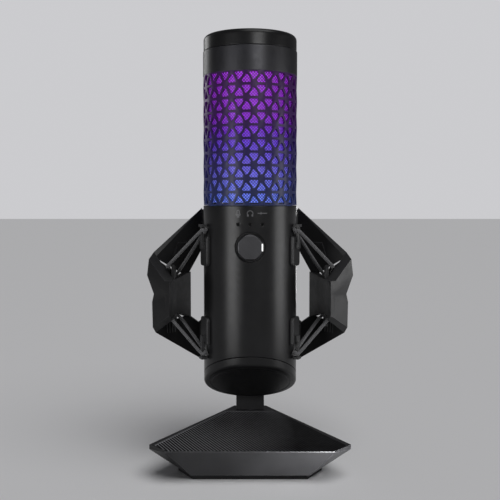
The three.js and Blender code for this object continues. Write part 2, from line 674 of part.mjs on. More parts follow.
const at = (outline, z) => outline.map(([x, y]) => [x, y, z]);

// An upside-down faceted block: its sides lean in towards the desk.
function baseShell() {
  const rim = TOP_OUTLINE.map(([x, y]) => [x, y, y < -50 ? FRONT_RIM : BASE_RIM]);
  const gem = hull([...at(TOP_OUTLINE, BASE_TOP), ...rim, ...at(BOTTOM_OUTLINE, PAD_TOP + CLEAR)]);
  const screwHoles = Object.values(WEIGHT_SCREWS).map(([x, y]) => bar(1.8, [x, y, 10], [x, y, 17.8]));
  return cut(
    gem,
    plate(CAVITY_OUTLINE, 0, 13.6),
    plate(RECESS_OUTLINE, BASE_TOP - 1.2, BASE_TOP + 5),
    bar(3.3, [0, NECK_BOLT_Y, 0], [0, NECK_BOLT_Y, 30]),
    bar(5.2, [0, NECK_BOLT_Y, 0], [0, NECK_BOLT_Y, 12]),
    ...screwHoles,
  );
}

function baseWeight() {
  const holes = Object.values(WEIGHT_SCREWS).flatMap(([x, y]) => [
    bar(1.8, [x, y, 0], [x, y, 20]),
    bar(3.4, [x, y, 0], [x, y, 6]),
  ]);
  return cut(plate(WEIGHT_OUTLINE, 3, 13.2), ...holes);
}

// The neck rises behind the microphone and ends in the lug that carries the tilt pivot.
function neck() {
  const { half, front, back, shoulder } = NECK;
  const taper = [
    ...[-half, half].flatMap((x) => [[x, front, shoulder - 4], [x, back, shoulder - 4]]),
    ...[-LUG_HALF, LUG_HALF].flatMap((x) => [[x, front, shoulder + 2], [x, back, shoulder + 2]]),
  ];
  return cut(
    join(
      block([-half, front, BASE_TOP + CLEAR], [half, back, shoulder - 3.9]),
      hull(taper),
      block([-LUG_HALF, front, shoulder - 6], [LUG_HALF, back, PIVOT_Z]),
      bar(KNUCKLE_R, [-LUG_HALF, PIVOT_Y, PIVOT_Z], [LUG_HALF, PIVOT_Y, PIVOT_Z], 24),
    ),
    bar(2.8, [-20, PIVOT_Y, PIVOT_Z], [20, PIVOT_Y, PIVOT_Z]),
    bar(3.3, [0, NECK_BOLT_Y, 0], [0, NECK_BOLT_Y, 40]),
  );
}

add('base_shell', baseShell(), satinBlack);
add('base_weight', baseWeight(), steel);
add('base_top_plate', plate(PLATE_OUTLINE, BASE_TOP - 0.9, BASE_TOP + 0.1), darkPlastic);
add('base_pad', plate(RUBBER_OUTLINE, 0, PAD_TOP), rubberBlack);
add('neck', neck(), satinBlack);
add('neck_bolt', join(
  bar(3, [0, NECK_BOLT_Y, 8], [0, NECK_BOLT_Y, 38]),
  bar(4.8, [0, NECK_BOLT_Y, 7.5], [0, NECK_BOLT_Y, 11.7]),
), steel);
for (const [name, [x, y]] of Object.entries(WEIGHT_SCREWS)) {
  add(`weight_screw_${name}`, join(
    bar(1.5, [x, y, 5], [x, y, 17.4], 8),
    bar(3, [x, y, 3.4], [x, y, 5.7], 12),
  ), steel);
}

export default microphone;
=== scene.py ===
"""Looks of the desktop microphone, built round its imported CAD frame.

Lengths are in millimetres until a mesh is made, where MM turns them into metres.
"""

import json
import math

import bmesh
import bpy
from mathutils import Matrix, Vector
from mathutils.geometry import delaunay_2d_cdt


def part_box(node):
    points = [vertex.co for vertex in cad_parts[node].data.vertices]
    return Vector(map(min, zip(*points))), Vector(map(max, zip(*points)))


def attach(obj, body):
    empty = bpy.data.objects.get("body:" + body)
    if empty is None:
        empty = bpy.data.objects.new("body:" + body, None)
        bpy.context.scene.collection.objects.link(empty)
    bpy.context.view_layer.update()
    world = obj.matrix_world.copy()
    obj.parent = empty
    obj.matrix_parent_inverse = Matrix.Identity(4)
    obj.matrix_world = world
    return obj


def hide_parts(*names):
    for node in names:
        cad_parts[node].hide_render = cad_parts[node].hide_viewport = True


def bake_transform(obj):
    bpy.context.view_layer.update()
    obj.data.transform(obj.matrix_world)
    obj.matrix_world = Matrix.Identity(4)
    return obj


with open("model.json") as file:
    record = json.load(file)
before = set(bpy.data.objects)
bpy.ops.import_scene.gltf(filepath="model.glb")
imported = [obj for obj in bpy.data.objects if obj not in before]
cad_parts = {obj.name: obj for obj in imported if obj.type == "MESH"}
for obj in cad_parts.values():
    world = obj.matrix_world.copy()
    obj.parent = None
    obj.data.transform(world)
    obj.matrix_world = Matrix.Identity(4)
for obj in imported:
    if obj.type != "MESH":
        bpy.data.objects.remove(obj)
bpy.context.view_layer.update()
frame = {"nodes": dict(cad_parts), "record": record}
MM = 0.001


def cad(node):
    """Lowest and highest corner of a CAD node."""
    low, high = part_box(node)
    return low / MM, high / MM


SLOT_OF = {part["node"]: part["material_slot"] for part in frame["record"]["subparts"]}
BODY_OF = {
    node: body
    for body, nodes in frame["record"]["behaviour"]["bodies"].items()
    for node in nodes
}

# ---- Sizes ----

BODY_LOW, BODY_HIGH = cad("body_shell")
BODY_R = (BODY_HIGH.x - BODY_LOW.x) / 2
BODY_TOP = BODY_HIGH.z
WALL = 1.8
SLOPE = math.tan(math.radians(29.5))  # of the underside, which faces forward and down
BODY_BOTTOM = BODY_LOW.z + SLOPE * BODY_R  # on the upright axis
CAP_TOP = cad("top_cap")[1].z
CAP_R = cad("top_cap")[1].x
GRILLE_BOTTOM = cad("head_grille")[0].z
CAP_SEAM = cad("head_grille")[1].z
COLLAR_HEIGHT = 15.7  # plain band over the pierced field
COLLAR_BOTTOM = CAP_SEAM - COLLAR_HEIGHT
GRILLE_WALL = 1.2
GRILLE_COLUMNS = 20
GRILLE_ROWS = 10
GRILLE_TURN = math.radians(4.72)
SIDES = 120  # of the large turned pieces
SEAM_GAP = 0.3  # between fitted pieces
FOOT_CAP_HEIGHT = 6.55  # from the slanted disc up to the body's lower rim


# ---- Meshes ----


class Shape:
    """The points and faces of one mesh."""

    def __init__(self):
        self.points = []
        self.faces = []

    def add(self, points, faces):
        start = len(self.points)
        self.points.extend(Vector(p) for p in points)
        self.faces.extend([start + i for i in face] for face in faces)
        return self

    def strips(self, rings, closed=True, ends=False):
        """Quads between neighbouring rings, which all have the same number of points."""
        count = len(rings[0])
        faces = []
        for row in range(len(rings) - 1):
            for i in range(count if closed else count - 1):
                j = (i + 1) % count
                faces.append([row * count + k for k in (i, j)] + [(row + 1) * count + k for k in (j, i)])
        if ends:
            last = (len(rings) - 1) * count
            faces.append(list(range(count))[::-1])
            faces.append([last + i for i in range(count)])
        return self.add([p for ring in rings for p in ring], faces)

    def moved(self, matrix):
        self.points = [matrix @ p for p in self.points]
        return self

    def join(self, other):
        return self.add(other.points, other.faces)


def soften(bm, offset, sharper_than, segments=3):
    """Rounds the edges where two faces meet at more than an angle."""
    limit = math.radians(sharper_than)
    edges = [e for e in bm.edges if len(e.link_faces) == 2 and e.calc_face_angle() > limit]
    bmesh.ops.bevel(
        bm, geom=edges, offset=offset * MM, segments=segments, profile=0.5, affect="EDGES",
        clamp_overlap=True)


def merge_flat(bm):
    """Joins neighbouring faces that lie in one plane."""
    bmesh.ops.dissolve_limit(
        bm, angle_limit=math.radians(0.6), verts=bm.verts, edges=bm.edges,
        use_dissolve_boundaries=False, delimit=set())


def finish_piece(name, bm, node, stands_for=(), crease=40, slot=None, look=None, ride=True):
    """Makes the object of a mesh, which takes its body and its finish from a CAD node."""
    bmesh.ops.recalc_face_normals(bm, faces=bm.faces)
    mesh = bpy.data.meshes.new(name)
    bm.to_mesh(mesh)
    bm.free()
    mesh.shade_smooth()
    mesh.set_sharp_from_angle(angle=math.radians(crease))
    made = bpy.data.objects.new(name, mesh)
    bpy.context.scene.collection.objects.link(made)
    slot = slot or SLOT_OF[node]
    mesh.materials.append(look or LOOKS[slot])
    weighted = made.modifiers.new("even normals", "WEIGHTED_NORMAL")
    weighted.keep_sharp = True
    if ride:
        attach(made, BODY_OF[node])
    if stands_for:
        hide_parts(*stands_for)
    return made


def piece(name, shape, node, stands_for=(), bevel=0.0, sharper_than=30, **options):
    """An object from a Shape, with its edges rounded by bevel."""
    bm = bmesh.new()
    corners = [bm.verts.new(p * MM) for p in shape.points]
    for face in shape.faces:
        bm.faces.new([corners[i] for i in face])
    bmesh.ops.remove_doubles(bm, verts=bm.verts, dist=0.002 * MM)
    bmesh.ops.recalc_face_normals(bm, faces=bm.faces)
    if bevel:
        soften(bm, bevel, sharper_than)
    return finish_piece(name, bm, node, stands_for, **options)


def softened(name, node, bevel, sharper_than=24, crease=32, segments=3):
    """A CAD node's own shape with rounded edges."""
    bm = bmesh.new()
    bm.from_mesh(frame["nodes"][node].data)
    bmesh.ops.remove_doubles(bm, verts=bm.verts, dist=0.001 * MM)
    merge_flat(bm)
    soften(bm, bevel, sharper_than, segments)
    return finish_piece(name, bm, node, [node], crease)


def rounded(corners, steps=4):
    """A closed outline from (x, y, radius) corners."""
    outline = []
    for i, (x, y, radius) in enumerate(corners):
        here = Vector((x, y))
        if radius == 0:
            outline.append((x, y))
            continue
        before = (Vector(corners[i - 1][:2]) - here).normalized()
        after = (Vector(corners[(i + 1) % len(corners)][:2]) - here).normalized()
        half = before.angle(after) / 2
        centre = here + (before + after).normalized() * radius / math.sin(half)
        start = here + before * radius / math.tan(half) - centre
        end = here + after * radius / math.tan(half) - centre
        first = math.atan2(start.y, start.x)
        sweep = (math.atan2(end.y, end.x) - first + math.pi) % math.tau - math.pi
        for k in range(steps + 1):
            turn = first + sweep * k / steps
            outline.append((centre.x + radius * math.cos(turn), centre.y + radius * math.sin(turn)))
    return outline


def turned(outline, sides=SIDES, slope=0.0, closed=True):
    """A solid turned about the upright axis from its (radius, height) outline."""
    rings = []
    for radius, height in outline:
        ring = []
        for i in range(sides):
            turn = math.tau * i / sides
            y = -radius * math.cos(turn)
            ring.append((radius * math.sin(turn), y, height - slope * y))
        rings.append(ring)
    if closed:
        rings.append(rings[0])
    return Shape().strips(rings)


def facing(x, y, z, backwards=False):
    """The move that points an upright piece's top to the front, or to the back."""
    quarter = math.radians(-90 if backwards else 90)
    return Matrix.Translation((x, y, z)) @ Matrix.Rotation(quarter, 4, "X")


def block(low, high):
    (x0, y0, z0), (x1, y1, z1) = low, high
    rings = [[(x0, y0, z), (x1, y0, z), (x1, y1, z), (x0, y1, z)] for z in (z0, z1)]
    return Shape().strips(rings, ends=True)


def circle(radius, count, x=0.0, y=0.0):
    turns = [math.tau * i / count for i in range(count)]
    return [(x + radius * math.cos(turn), y + radius * math.sin(turn)) for turn in turns]


# ---- Materials ----


class Look:
    """A procedural material on a Principled shader, in object coordinates (metres)."""

    def __init__(self, name):
        self.material = bpy.data.materials.new(name)
        self.material.use_nodes = True
        self.tree = self.material.node_tree
        self.shader = self.tree.nodes["Principled BSDF"]
        self.place = self.node("ShaderNodeTexCoord").outputs["Object"]

    def node(self, kind, **settings):
        made = self.tree.nodes.new(kind)
        for key, value in settings.items():
            setattr(made, key, value)
        return made

    def link(self, source, target):
        self.tree.links.new(source, target)

    def set(self, **values):
        for socket, value in values.items():
            self.shader.inputs[socket.replace("_", " ")].default_value = value

    def noise(self, size, detail=3.0, roughness=0.55, place=None):
        """Noise whose lumps are about size millimetres across."""
        made = self.node("ShaderNodeTexNoise")
        made.inputs["Scale"].default_value = 1 / (size * MM)
        made.inputs["Detail"].default_value = detail
        made.inputs["Roughness"].default_value = roughness
        self.link(place or self.place, made.inputs["Vector"])
        return made.outputs["Fac"]

    def ramp(self, factor, stops):
        """A colour ramp with (place, colour) stops."""
        made = self.node("ShaderNodeValToRGB")
        ramp = made.color_ramp
        for _ in stops[2:]:
            ramp.elements.new(0.5)
        for element, (place, colour) in zip(ramp.elements, stops):
            element.position = place
        for element, (place, colour) in zip(ramp.elements, stops):
            element.color = (*colour, 1)
        self.link(factor, made.inputs["Fac"])
        return made.outputs["Color"]

    def span(self, factor, low, high, start=0.3, stop=0.7):
        """Maps start..stop onto low..high."""
        made = self.node("ShaderNodeMapRange")
        made.inputs["From Min"].default_value = start
        made.inputs["From Max"].default_value = stop
        made.inputs["To Min"].default_value = low
        made.inputs["To Max"].default_value = high
        self.link(factor, made.inputs["Value"])
        return made.outputs["Result"]

    def bump(self, height, strength, depth):
        """A bump of depth millimetres."""
        made = self.node("ShaderNodeBump")
        made.inputs["Strength"].default_value = strength
        made.inputs["Distance"].default_value = depth * MM
        self.link(height, made.inputs["Height"])
        return made.outputs["Normal"]

    def mix(self, factor, first, second):
        made = self.node("ShaderNodeMix", data_type="RGBA")
        self.link(factor, made.inputs["Factor"])
        for socket, value in ((made.inputs[6], first), (made.inputs[7], second)):
            if isinstance(value, tuple):
                socket.default_value = (*value, 1)
            else:
                self.link(value, socket)
        return made.outputs[2]

    def painted_edge_highlight(self, radius):
        """The mask of a painted edge highlight: 1 on edges and corners within radius millimetres, 0 on open
        faces.
        """
        bevel = self.node("ShaderNodeBevel", samples=4)
        bevel.inputs["Radius"].default_value = radius * MM
        geometry = self.node("ShaderNodeNewGeometry")
        dot = self.node("ShaderNodeVectorMath", operation="DOT_PRODUCT")
        self.link(bevel.outputs["Normal"], dot.inputs[0])
        self.link(geometry.outputs["Normal"], dot.inputs[1])
        return self.span(dot.outputs["Value"], 1, 0, 0.86, 0.99)


def coated(name, dark, light, roughness, metallic, specular, grain, depth, edge=None, glow=0.0):
    """A painted, moulded or anodised finish: clouded colour, mottled gloss and a fine grain.
    With edge, its edges and corners carry a painted highlight of that lighter colour. With glow it
    also gives off a little light, a painted glow in place of light that the gauze would scatter."""
    look = Look(name)
    look.set(Metallic=metallic, Specular_IOR_Level=specular)
    cloud = look.noise(26, 4)
    colour = look.ramp(cloud, [(0.35, dark), (0.65, light)])
    # Painted highlight: edges and corners within half a millimetre turn towards the lighter edge colour.
    if edge:
        colour = look.mix(look.painted_edge_highlight(0.5), colour, edge)
    look.link(colour, look.shader.inputs["Base Color"])
    gloss = look.noise(5, 5, 0.65)
    look.link(look.span(gloss, *roughness), look.shader.inputs["Roughness"])
    fine = look.noise(grain, 2)
    look.link(look.bump(fine, 0.5, depth), look.shader.inputs["Normal"])
    # Painted glow: the surface gives off the lit field's colour by height, though it is no lamp.
    if glow:
        look.set(Emission_Strength=glow)
        look.link(height_glow(look), look.shader.inputs["Emission Color"])
    return look.material


def grey(value, blue=1.06):
    return (value, value, value * blue)


def brushed_steel(name, tone):
    look = Look(name)
    look.set(Metallic=1.0)
    stretch = look.node("ShaderNodeMapping")
    stretch.inputs["Scale"].default_value = (1, 1, 14)
    look.link(look.place, stretch.inputs["Vector"])
    streaks = look.noise(1.6, 4, 0.6, stretch.outputs["Vector"])
    look.link(look.ramp(streaks, [(0.3, grey(tone * 0.8)), (0.7, grey(tone * 1.15))]),
              look.shader.inputs["Base Color"])
    look.link(look.span(streaks, 0.24, 0.42), look.shader.inputs["Roughness"])
    look.link(look.bump(streaks, 0.3, 0.01), look.shader.inputs["Normal"])
    return look.material


GLOW = [  # from the bottom of the lit field to its top
    (0.05, (0.137, 0.213, 0.897)),
    (0.25, (0.185, 0.160, 0.860)),
    (0.45, (0.172, 0.070, 0.810)),
    (0.55, (0.222, 0.037, 0.760)),
    (0.66, (0.340, 0.034, 0.780)),
    (0.95, (0.405, 0.036, 0.775)),
]


def height_glow(look):
    """The glow's colour at each height of the lit field."""
    axes = look.node("ShaderNodeSeparateXYZ")
    look.link(look.place, axes.inputs["Vector"])
    height = look.span(axes.outputs["Z"], 0, 1, GRILLE_BOTTOM * MM, COLLAR_BOTTOM * MM)
    return look.ramp(height, GLOW)


def glowing(name, strength, speckle):
    """A lit surface whose colour runs from blue at the bottom to violet at the top."""
    look = Look(name)
    look.set(Roughness=0.6, Emission_Strength=strength)
    colour = height_glow(look)
    shade = look.ramp(look.noise(speckle, 2), [(0.3, grey(0.72, 1)), (0.7, grey(1.0, 1))])
    tinted = look.node("ShaderNodeMix", data_type="RGBA", blend_type="MULTIPLY")
    tinted.inputs["Factor"].default_value = 1.0
    look.link(colour, tinted.inputs[6])
    look.link(shade, tinted.inputs[7])
    look.link(tinted.outputs[2], look.shader.inputs["Emission Color"])
    look.link(tinted.outputs[2], look.shader.inputs["Base Color"])
    return look.material


def circuit_board():
    look = Look("circuit board")
    look.set(Roughness=0.42)
    tracks = look.node("ShaderNodeTexVoronoi", feature="DISTANCE_TO_EDGE")
    tracks.inputs["Scale"].default_value = 1 / (3 * MM)
    look.link(look.place, tracks.inputs["Vector"])
    colour = look.ramp(tracks.outputs["Distance"], [(0.02, (0.06, 0.2, 0.1)), (0.08, (0.01, 0.06, 0.03))])
    look.link(colour, look.shader.inputs["Base Color"])
    look.link(look.bump(tracks.outputs["Distance"], 0.3, 0.03), look.shader.inputs["Normal"])
    return look.material


def foam():
    look = Look("open-cell foam")
    look.set(Roughness=0.95)
    cells = look.node("ShaderNodeTexVoronoi")
    cells.inputs["Scale"].default_value = 1 / (0.9 * MM)
    look.link(look.place, cells.inputs["Vector"])
    # Painted shade: the recessed pores are darker than the strands round them.
    colour = look.ramp(cells.outputs["Distance"], [(0.1, grey(0.008)), (0.6, grey(0.05))])
    look.link(colour, look.shader.inputs["Base Color"])
    look.link(look.bump(cells.outputs["Distance"], 0.8, 0.3), look.shader.inputs["Normal"])
    return look.material


def braided(name):
    """Round elastic with a woven cover: crossing threads, with a painted highlight on their crowns and
    painted shade between them.
    """
    look = Look(name)
    look.set(Roughness=0.78, Sheen_Weight=0.35, Sheen_Roughness=0.4, Specular_IOR_Level=0.35)
    threads = look.node("ShaderNodeTexVoronoi")
    threads.inputs["Scale"].default_value = 1 / (0.55 * MM)
    look.link(look.place, threads.inputs["Vector"])
    # Painted highlight on the thread crowns, and painted shade in the gaps between them.
    colour = look.ramp(threads.outputs["Distance"], [(0.15, grey(0.075)), (0.75, grey(0.028))])
    look.link(colour, look.shader.inputs["Base Color"])
    look.link(look.bump(threads.outputs["Distance"], 0.5, 0.12), look.shader.inputs["Normal"])
    return look.material


# Where a coated finish has a ninth argument, it is the colour of its painted edge highlight; the grille
# field's tenth is the strength of its painted glow.
LOOKS = {
    "satin_black": coated(
        "satin black", grey(0.0050), grey(0.0080), (0.28, 0.33), 0.2, 0.25, 0.35, 0.004),
    "grille_steel": coated(
        "grille steel", grey(0.0090, 1.2), grey(0.0150, 1.25), (0.34, 0.44), 0.5, 0.55, 0.3, 0.008,
        grey(0.035, 1.2)),
    "knob_black": coated(
        "knob black", grey(0.050), grey(0.066), (0.36, 0.44), 0.9, 0.5, 0.3, 0.006, grey(0.12)),
    "base_black": coated(
        "base black", grey(0.0120), grey(0.0170), (0.36, 0.46), 0.3, 0.2, 0.35, 0.01, grey(0.05)),
    "neck_black": coated(
        "neck black", grey(0.0080), grey(0.0120), (0.40, 0.50), 0.3, 0.25, 0.35, 0.01, grey(0.03)),
    "plate_black": coated(
        "plate black", grey(0.0060), grey(0.0095), (0.40, 0.50), 0.0, 0.35, 0.35, 0.01),
    "frame_plastic": coated(
        "frame plastic", grey(0.0075), grey(0.0115), (0.44, 0.54), 0.0, 0.35, 0.45, 0.02, grey(0.03)),
    "dark_plastic": coated(
        "dark plastic", grey(0.0080), grey(0.0120), (0.45, 0.55), 0.0, 0.45, 0.4, 0.012, grey(0.03)),
    "touch_black": coated(
        "touch black", grey(0.0070), grey(0.0100), (0.16, 0.24), 0.0, 0.5, 0.8, 0.003),
    "light_pipe": coated(
        "light pipe", grey(0.0020), grey(0.0040), (0.55, 0.70), 0.0, 0.1, 0.5, 0.004),
    "pointer_white": coated(
        "pointer white", grey(0.80, 1), grey(0.90, 1), (0.30, 0.42), 0.0, 0.5, 0.5, 0.004),
    # The pierced field: a darker, shaded copy of the grille steel, with a painted edge highlight and a
    # painted violet glow in place of light the gauze would scatter onto its bars.
    "grille_field": coated(
        "shaded grille field with painted glow", grey(0.0030, 1.2), grey(0.0050, 1.25), (0.32, 0.40), 0.2, 0.2, 0.3, 0.006,
        grey(0.012, 1.2), 0.06),
    "mesh_lit": coated(
        "gauze wire", grey(0.020, 1.6), grey(0.034, 1.6), (0.35, 0.50), 0.7, 0.5, 0.25, 0.01),
    "diffuser_lit": glowing("lit diffuser", 1.22, 2.5),
    "foam": foam(),
    "capsule_gold": coated(
        "capsule gold", (0.60, 0.42, 0.16), (0.75, 0.56, 0.25), (0.2, 0.35), 1.0, 0.5, 0.5, 0.01),
    "rubber": coated(
        "rubber", grey(0.0040), grey(0.0070), (0.75, 0.9), 0.0, 0.15, 0.5, 0.03),
    "elastic": braided("braided elastic"),
    "circuit_board": circuit_board(),
    "bright_steel": brushed_steel("bright steel", 0.12),
    "weight_steel": brushed_steel("weight steel", 0.25),
}
pointer_shader = LOOKS["pointer_white"].node_tree.nodes["Principled BSDF"]
pointer_shader.inputs["Emission Color"].default_value = (1, 1, 1, 1)
pointer_shader.inputs["Emission Strength"].default_value = 0.45
PRINT = coated("icon print", grey(0.055), grey(0.085), (0.45, 0.6), 0.0, 0.4, 0.2, 0.005)


# ---- Microphone body ----


def on_front(x, z, depth=0.0):
    """The point of the round side that is seen at (x, z) from the front."""
    return (x, -math.sqrt((BODY_R - depth) ** 2 - x * x), z)


def on_back(x, z, depth=0.0):
    return (x, math.sqrt((BODY_R - depth) ** 2 - x * x), z)


def along(x, back=False):
    """How far round the side, from the front, a point at x lies."""
    turn = math.asin(x / BODY_R)
    return BODY_R * ((math.pi - turn) if back else turn)


def inside(point, loop):
    """Whether a point lies inside a closed outline."""
    found = False
    x, y = point
    for (x0, y0), (x1, y1) in zip(loop, loop[1:] + loop[:1]):
        if (y0 > y) != (y1 > y) and x < (x1 - x0) * (y - y0) / (y1 - y0) + x0:
            found = not found
    return found


KNOB_LOW, KNOB_HIGH = cad("control_knob")
KNOB_Z = (KNOB_LOW.z + KNOB_HIGH.z) / 2
KNOB_HOLE_R = 9.8
DIAL_FACE_R = 8.1
DIAL_FACET_DEPTH = 1.2
DIAL_CLEARANCE = 1.0  # in front of the encoder: the dial's travel and a little more
POINTER_PROUD = 0.2
LIP = 0.3  # radius of the body's rounded rims
LAMPS = {}
for lamp in ("gain", "headphone", "mix"):
    lamp_low, lamp_high = cad(f"{lamp}_led_pipe")
    LAMPS[lamp] = ((lamp_low.x + lamp_high.x) / 2, (lamp_low.z + lamp_high.z) / 2)
PANEL_LOW, PANEL_HIGH = cad("rear_port_panel")


def panel_outline(grow):
    x = PANEL_HIGH.x + 0.3 + grow
    low = PANEL_LOW.z - 0.3 - grow
    high = PANEL_HIGH.z + 0.3 + grow
    return rounded([(-x, low, 1.6), (x, low, 1.6), (x, high, 1.6), (-x, high, 1.6)])


def body_shell():
    """The lower body: a round wall with holes for the dial, its lamps and the port panel."""
    openings = [(lambda grow: circle(KNOB_HOLE_R + grow, 56, 0, KNOB_Z), on_front)]
    for x, z in LAMPS.values():
        openings.append((lambda grow, x=x, z=z: circle(0.95 + grow, 14, x, z), on_front))
    openings.append((panel_outline, on_back))

    step = 360 / SIDES
    turns = [math.radians(-90 + step * i) for i in range(SIDES + 1)]
    bottom = [(BODY_R * t, BODY_BOTTOM + LIP + SLOPE * BODY_R * math.cos(t)) for t in turns]
    top = [(BODY_R * t, BODY_TOP - LIP) for t in turns]
    outline = bottom + top[::-1]
    loops = []
    for opening, where in openings:
        loops.append([(along(x, where is on_back), z) for x, z in opening(LIP)])

    points = [Vector(p) for p in outline]
    edges = [(i, (i + 1) % len(outline)) for i in range(len(outline))]
    for loop in loops:
        first = len(points)
        points.extend(Vector(p) for p in loop)
        edges.extend((first + i, first + (i + 1) % len(loop)) for i in range(len(loop)))
    for i in range(1, SIDES):
        low = bottom[i][1]
        rows = max(2, round((BODY_TOP - LIP - low) / 5))
        for row in range(1, rows):
            place = (bottom[i][0], low + (BODY_TOP - LIP - low) * row / rows)
            near = min((Vector(place) - Vector(p)).length for loop in loops for p in loop)
            if near > 0.9 and not any(inside(place, loop) for loop in loops):
                points.append(Vector(place))
    flat, _, triangles, *_ = delaunay_2d_cdt(points, edges, [], 0, 1e-5)
    kept = []
    for triangle in triangles:
        middle = tuple(sum((flat[i] for i in triangle), Vector((0, 0))) / len(triangle))
        if inside(middle, outline) and not any(inside(middle, loop) for loop in loops):
            kept.append(triangle)
    shape = Shape()
    wrapped = [(BODY_R * math.sin(u / BODY_R), -BODY_R * math.cos(u / BODY_R), z) for u, z in flat]
    shape.add(wrapped, kept)

    rim = [(LIP, 0), (LIP * 0.3, LIP * 0.3), (0, LIP), (0, WALL)]
    for opening, where in openings:
        shape.strips([[where(x, z, depth) for x, z in opening(grow)] for grow, depth in rim])
    lip = [(BODY_R, LIP), (BODY_R - LIP * 0.3, LIP * 0.3), (BODY_R - LIP, 0), (BODY_R - WALL, 0)]
    upper = [(r, BODY_TOP - z) for r, z in lip] + [(BODY_R - WALL, BODY_TOP - 4)]
    lower = [(r, BODY_BOTTOM + z) for r, z in lip] + [(BODY_R - WALL, BODY_BOTTOM + 4)]
    shape.join(turned(upper, closed=False))
    shape.join(turned(lower, slope=SLOPE, closed=False))
    return shape


def bottom_cap():
    low = BODY_BOTTOM - FOOT_CAP_HEIGHT  # the slanted disc's height on the upright axis
    high = BODY_BOTTOM - SEAM_GAP
    groove = BODY_R - 4.4
    outline = [
        (0, low), (groove - 0.35, low), (groove - 0.2, low + 0.3), (groove + 0.2, low + 0.3),
        (groove + 0.35, low),
    ]
    outline += rounded([
        (groove + 0.4, low, 0), (BODY_R, low, 2.0), (BODY_R, high, LIP), (BODY_R - 2.1, high, 0),
    ], 6)
    outline += [(BODY_R - 2.1, high + 3), (27.2, high + 3), (27.2, low + 3), (0, low + 3)]
    return turned(outline, slope=SLOPE)


def top_cap():
    seam = CAP_SEAM + SEAM_GAP
    outline = rounded([
        (0, CAP_TOP - 1.2, 0), (20.3, CAP_TOP - 1.2, 0), (20.3, CAP_TOP, 0.3), (CAP_R, CAP_TOP, 3.2),
        (CAP_R, seam, LIP), (28.9, seam, 0), (28.9, 269, 0), (27.4, 269, 0), (27.4, 281, 0),
        (26, 282, 0), (0, 282, 0),
    ], 8)
    return turned(outline)


def touch_plate():
    low, high = cad("touch_mute_plate")
    radius = high.x
    outline = rounded([
        (0, low.z, 0), (radius, low.z, 0), (radius, high.z, 0.25), (radius - 3, high.z, 0),
        (0, high.z - 0.25, 0),
    ], 5)
    return turned(outline)


def collar():
    """The grille's plain band, from the pierced field up to the cap."""
    inner = BODY_R - GRILLE_WALL
    low = COLLAR_BOTTOM - 0.35
    outline = rounded([
        (inner, low, 0), (BODY_R, low, LIP), (BODY_R, CAP_SEAM, LIP), (inner, CAP_SEAM, 0),
    ])
    return turned(outline)


piece("lower_body", body_shell(), "body_shell", ["body_shell"])
piece("foot_cap", bottom_cap(), "bottom_cap", ["bottom_cap"])
piece("crown_cap", top_cap(), "top_cap", ["top_cap"])
piece("mute_plate", touch_plate(), "touch_mute_plate", ["touch_mute_plate"])
piece("grille_collar", collar(), "head_grille", ["head_grille"])


# ---- Pierced field and the light behind it ----

BAR_HALF = 0.82  # half the width of a bar between two holes
PLATE_R = 2.75  # how far the metal reaches round a node, towards each hole
HOLE_CORNER_R = 0.45
RIM_R = 0.22


def grille_node(row, n, depth=0.0):
    turn = GRILLE_TURN + math.tau / GRILLE_COLUMNS * (n - (0 if row % 2 else 0.5))
    radius = BODY_R - depth
    height = GRILLE_BOTTOM + (COLLAR_BOTTOM - GRILLE_BOTTOM) * row / GRILLE_ROWS
    return Vector((radius * math.sin(turn), -radius * math.cos(turn), height))


def hole_outline(corners):
    """The hole between three nodes: a triangle whose corners the nodes' plates cut off. It
    gives each corner's share of the outline, in order round the hole."""
    across = (corners[1] - corners[0]).normalized()
    normal = across.cross(corners[2] - corners[0]).normalized()
    up = normal.cross(across)
    flat = [Vector(((c - corners[0]).dot(across), (c - corners[0]).dot(up))) for c in corners]
    cuts = []
    for i, here in enumerate(flat):
        before = (flat[i - 1] - here).normalized()
        after = (flat[(i + 1) % 3] - here).normalized()
        half = before.angle(after) / 2
        start = here + (before + after).normalized() * BAR_HALF / math.sin(half)
        reach = (PLATE_R - BAR_HALF / math.sin(half)) / math.cos(half)
        cuts.append((*(start + before * reach), HOLE_CORNER_R))
        cuts.append((*(start + after * reach), HOLE_CORNER_R))
    outline = rounded(cuts, 2)
    count = len(outline) // 3
    spots = [corners[0] + across * x + up * y for x, y in outline]
    return [spots[i * count:(i + 1) * count] for i in range(3)], normal


def pierced_field():
    shape = Shape()

    def cell(places):
        outer = [grille_node(row, n) for row, n in places]
        inner = [grille_node(row, n, GRILLE_WALL) for row, n in places]
        corners, normal = hole_outline(outer)
        loop = [p for corner in corners for p in corner]
        middle = sum(loop, Vector()) / len(loop)
        inradius = min((p - middle).length for p in loop)
        rings = []
        for grow, depth in ((RIM_R, 0), (RIM_R * 0.3, RIM_R * 0.3), (0, RIM_R), (0, GRILLE_WALL)):
            scale = 1 + grow / inradius
            rings.append([middle + (p - middle) * scale - normal * depth for p in loop])
        shape.strips(rings)
        count = len(corners[0])
        for nodes, ring, order in ((outer, rings[0], 1), (inner, rings[-1], -1)):
            faces = []
            for i in range(3):
                j = (i + 1) % 3
                corner = [3 + i * count + k for k in range(count)]
                faces.append([i, *reversed(corner)][::-order])
                faces.append([i, j, 3 + j * count, corner[-1]][::order])
            shape.add([*nodes, *ring], faces)

    for row in range(GRILLE_ROWS):
        shift = 0 if row % 2 else 1
        for n in range(GRILLE_COLUMNS):
            cell([(row, n), (row, n + 1), (row + 1, n + 1 - shift)])
            cell([(row + 1, n + 1 - shift), (row + 1, n - shift), (row, n)])
    for row, order in ((0, 1), (GRILLE_ROWS, -1)):
        for n in range(GRILLE_COLUMNS):
            edge = [grille_node(row, n + 1), grille_node(row, n)]
            back = [grille_node(row, n, GRILLE_WALL), grille_node(row, n + 1, GRILLE_WALL)]
            shape.add(edge + back, [[0, 1, 2, 3][::order]])
    return shape


